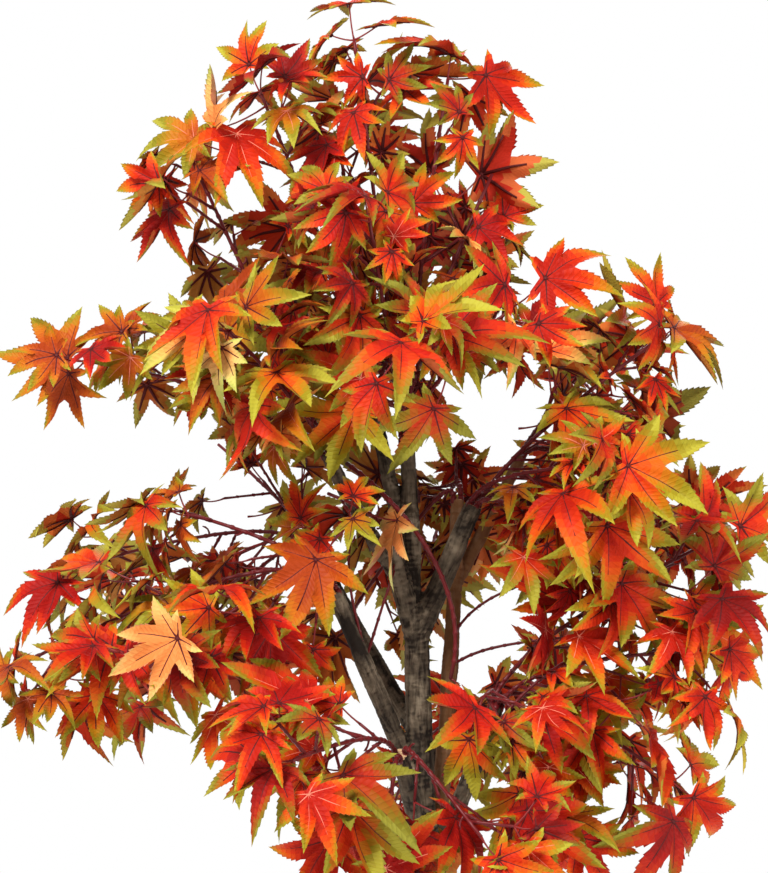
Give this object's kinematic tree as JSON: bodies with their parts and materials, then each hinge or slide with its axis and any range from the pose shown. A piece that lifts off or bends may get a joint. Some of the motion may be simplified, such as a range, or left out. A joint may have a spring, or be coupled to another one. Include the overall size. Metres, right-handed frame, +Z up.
{
  "type": "artificial maple tree",
  "caption": "Artificial maple tree: a bare trunk forks into short cut boughs, and plastic stems set in their ends carry sprays of lobed silk leaves in autumn colours",
  "frame": {"origin": "centre of the flat cut under the trunk, on the ground", "axes": "+Z up; -Y towards the front, the side the tree is dressed for; +X to the right as seen from the front"},
  "size_m": [0.8326, 0.7341, 1.4904],
  "materials": {
    "bark": "natural grey-brown bark, rough and matt, with pale sawn ends",
    "stem_plastic": "moulded plastic stems, dark maroon with a satin sheen",
    "leaf_flame": "woven polyester leaves, orange-red shading to yellow-green tips, matt",
    "leaf_scarlet": "woven polyester leaves, scarlet shading to olive-green tips, matt",
    "leaf_rust": "woven polyester leaves, brown-orange shading to olive-yellow tips, matt"
  },
  "bodies": {
    "root": {"trunk": "bark", "leader_left": "bark", "bough_right": "bark", "leader_mid": "bark", "leader_back": "bark", "bough_left_high": "bark", "companion_stem": "bark", "bough_left_low": "bark", "bough_right_low": "bark", "bough_front_low": "bark", "bough_back_left": "bark", "bough_back_right": "bark", "bough_back_low": "bark", "foliage_top": "leaf_flame", "foliage_top_right": "leaf_scarlet", "foliage_top_left": "leaf_flame", "foliage_top_back": "leaf_flame", "foliage_upper_left": "leaf_rust", "foliage_left_mid": "leaf_rust", "foliage_left_front": "leaf_rust", "foliage_crown_front": "leaf_scarlet", "foliage_crown_high": "leaf_scarlet", "foliage_crown_right": "leaf_flame", "foliage_upper_right": "leaf_scarlet", "foliage_crown_back_left": "leaf_rust", "foliage_crown_back_right": "leaf_flame", "foliage_left_inner": "leaf_rust", "foliage_left_low_high": "leaf_rust", "foliage_left_low_long": "leaf_rust", "foliage_left_low_front": "leaf_scarlet", "foliage_left_low_drop": "leaf_flame", "foliage_front_left": "leaf_scarlet", "foliage_front_down": "leaf_flame", "foliage_front_right": "leaf_scarlet", "foliage_right_high": "leaf_flame", "foliage_right_high_front": "leaf_flame", "foliage_right_inner": "leaf_flame", "foliage_right_mid": "leaf_scarlet", "foliage_right_mid_long": "leaf_scarlet", "foliage_right_low": "leaf_flame", "foliage_right_low_drop": "leaf_flame", "foliage_right_foot": "leaf_flame", "foliage_trunk_right": "leaf_scarlet", "foliage_trunk_back": "leaf_rust", "foliage_back_left_high": "leaf_rust", "foliage_back_left": "leaf_rust", "foliage_back_left_low": "leaf_scarlet", "foliage_back_right_high": "leaf_flame", "foliage_back_right": "leaf_scarlet", "foliage_back_right_low": "leaf_flame", "foliage_back_low": "leaf_scarlet", "foliage_back_mid": "leaf_rust"}
  },
  "joints": []
}
